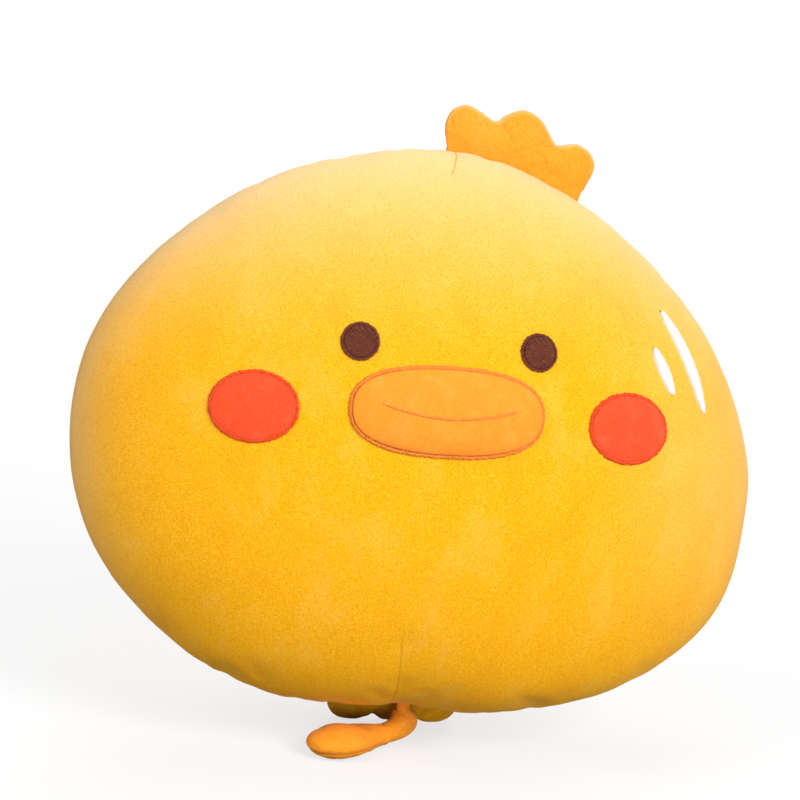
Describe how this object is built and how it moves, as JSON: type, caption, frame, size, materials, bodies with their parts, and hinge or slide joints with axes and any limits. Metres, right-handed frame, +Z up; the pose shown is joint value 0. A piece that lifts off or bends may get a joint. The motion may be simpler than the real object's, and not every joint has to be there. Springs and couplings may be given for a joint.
{
  "type": "stuffed_toy",
  "caption": "Oval yellow plush chick cushion with an orange comb, a three-lobed tail, a soft leg and foot, and an embroidered face",
  "frame": {"origin": "on the floor, under the middle of the toy's bounding box", "axes": "+X to the toy's left, which is the viewer's right, -Y towards the viewer out of the face, +Z up"},
  "size_m": [0.3838, 0.1792, 0.3529],
  "materials": {
    "yellow_plush": "short pile plush",
    "orange_plush": "short pile plush",
    "brown_felt": "dense felt",
    "brown_thread": "satin stitch",
    "red_felt": "smooth napped cloth",
    "red_thread": "satin stitch",
    "orange_felt": "smooth napped cloth",
    "orange_thread": "satin stitch",
    "white_thread": "satin stitch",
    "yellow_thread": "sewing thread",
    "filling": "polyester fibre filling"
  },
  "bodies": {
    "body": {"body_front_panel": "yellow_plush", "body_back_panel": "yellow_plush", "body_filling": "filling", "right_eye_patch": "brown_felt", "right_eye_stitching": "brown_thread", "right_cheek_patch": "red_felt", "right_cheek_stitching": "red_thread", "left_eye_patch": "brown_felt", "left_eye_stitching": "brown_thread", "left_cheek_patch": "red_felt", "left_cheek_stitching": "red_thread", "bill_cover": "orange_felt", "bill_padding": "filling", "bill_stitching": "orange_thread", "mouth_stitching": "orange_thread", "shine_long": "white_thread", "shine_short": "white_thread", "closing_thread": "yellow_thread", "tail_cover": "yellow_plush", "tail_filling": "filling"},
    "comb": {"comb_cover": "orange_plush", "comb_filling": "filling"},
    "leg": {"leg_cover": "orange_plush", "leg_filling": "filling"},
    "foot": {"foot_cover": "orange_plush", "foot_filling": "filling"}
  },
  "joints": [
    {"name": "comb_fold", "type": "hinge", "parent": "body", "child": "comb", "pos_m": [0.0428, 0.03681, 0.31935], "axis": [0.962, -0.0661, -0.265], "range_deg": [-27, 27], "stiffness_Nm_per_rad": 0.02},
    {"name": "leg_swing", "type": "hinge", "parent": "body", "child": "leg", "pos_m": [0.0056, -0.025, 0.0172], "axis": [0, 0, 1], "range_deg": [-30, 110]},
    {"name": "foot_flex", "type": "hinge", "parent": "leg", "child": "foot", "pos_m": [-0.00588, -0.0311, 0.0053], "axis": [-0.4695, 0.8829, 0], "range_deg": [-35, 8], "stiffness_Nm_per_rad": 0.05}
  ]
}
